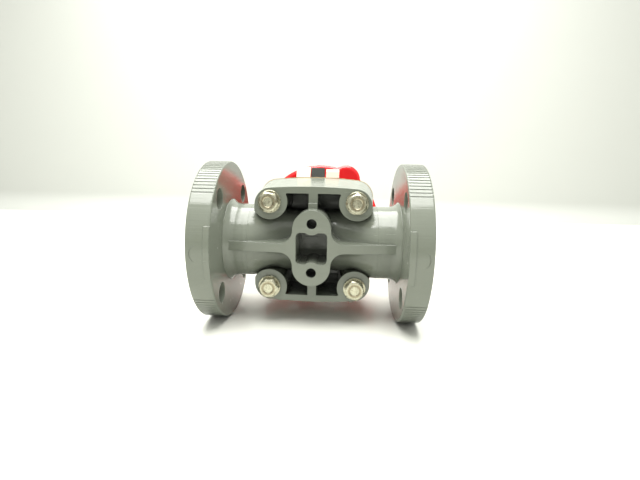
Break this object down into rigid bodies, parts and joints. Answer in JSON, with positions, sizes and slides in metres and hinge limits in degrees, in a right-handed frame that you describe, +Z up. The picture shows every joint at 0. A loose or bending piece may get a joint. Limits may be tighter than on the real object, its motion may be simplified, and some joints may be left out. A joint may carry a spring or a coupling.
{
  "type": "diaphragm valve",
  "caption": "Flanged plastic weir-type diaphragm valve with a deep bonnet skirt, stand boss, lobed handwheel, rising indicator under a clear cover and a tag holder.",
  "frame": {"origin": "centre of the inlet flange's sealing face, on the pipe axis", "axes": "+X along the pipe from inlet to outlet, +Y along the stem towards the handwheel, the stand boss faces -Y, +Z up as the valve lies on its flange rims"},
  "size_m": [0.2032, 0.267, 0.1524],
  "materials": {
    "body_plastic": "moulded, glossy",
    "bonnet_plastic": "moulded, glossy",
    "diaphragm_sheet": "smooth, semi-matte",
    "cushion_rubber": "matte",
    "seal_rubber": "satin",
    "stainless": "turned and pressed, semi-bright",
    "sleeve_brass": "turned",
    "compressor_plastic": "glass-filled, matte",
    "washer_plastic": "acetal, satin",
    "indicator_plastic": "glossy",
    "wheel_plastic": "moulded, glossy",
    "clear_cover": "clear, polished",
    "holder_plastic": "satin",
    "tag_plastic": "smooth"
  },
  "bodies": {
    "valve": {"inlet_flange": "body_plastic", "outlet_flange": "body_plastic", "valve_body": "body_plastic", "bonnet": "bonnet_plastic", "bonnet_bolts": "stainless", "bonnet_nuts": "stainless", "body_washers": "stainless", "bonnet_washers": "stainless", "diaphragm": "diaphragm_sheet", "backing_cushion": "cushion_rubber", "thrust_washer": "washer_plastic", "wheel_washer": "washer_plastic", "tag_holder": "holder_plastic", "tag_plates": "tag_plastic"},
    "wheel": {"handwheel": "wheel_plastic", "sleeve": "sleeve_brass", "handwheel_key": "stainless", "sleeve_seal": "seal_rubber", "wheel_nut": "sleeve_brass", "gauge_cover": "clear_cover", "gauge_seal": "seal_rubber"},
    "spindle": {"stem": "stainless", "compressor": "compressor_plastic", "compressor_pin": "stainless", "diaphragm_stud": "stainless", "travel_stop": "stainless", "position_indicator": "indicator_plastic"}
  },
  "joints": [
    {"name": "handwheel_turn", "type": "hinge", "parent": "valve", "child": "wheel", "pos_m": [0.1016, 0.135, 0], "axis": [0, -1, 0], "range_deg": [0, 2160]},
    {"name": "stem_travel", "type": "slide", "parent": "valve", "child": "spindle", "axis": [0, -1, 0], "range_m": [0, 0.03], "deforming": ["diaphragm", "backing_cushion"]}
  ],
  "couplings": [
    {"joint": "stem_travel", "follows": "handwheel_turn", "m_per_rad": 0.00079577}
  ]
}
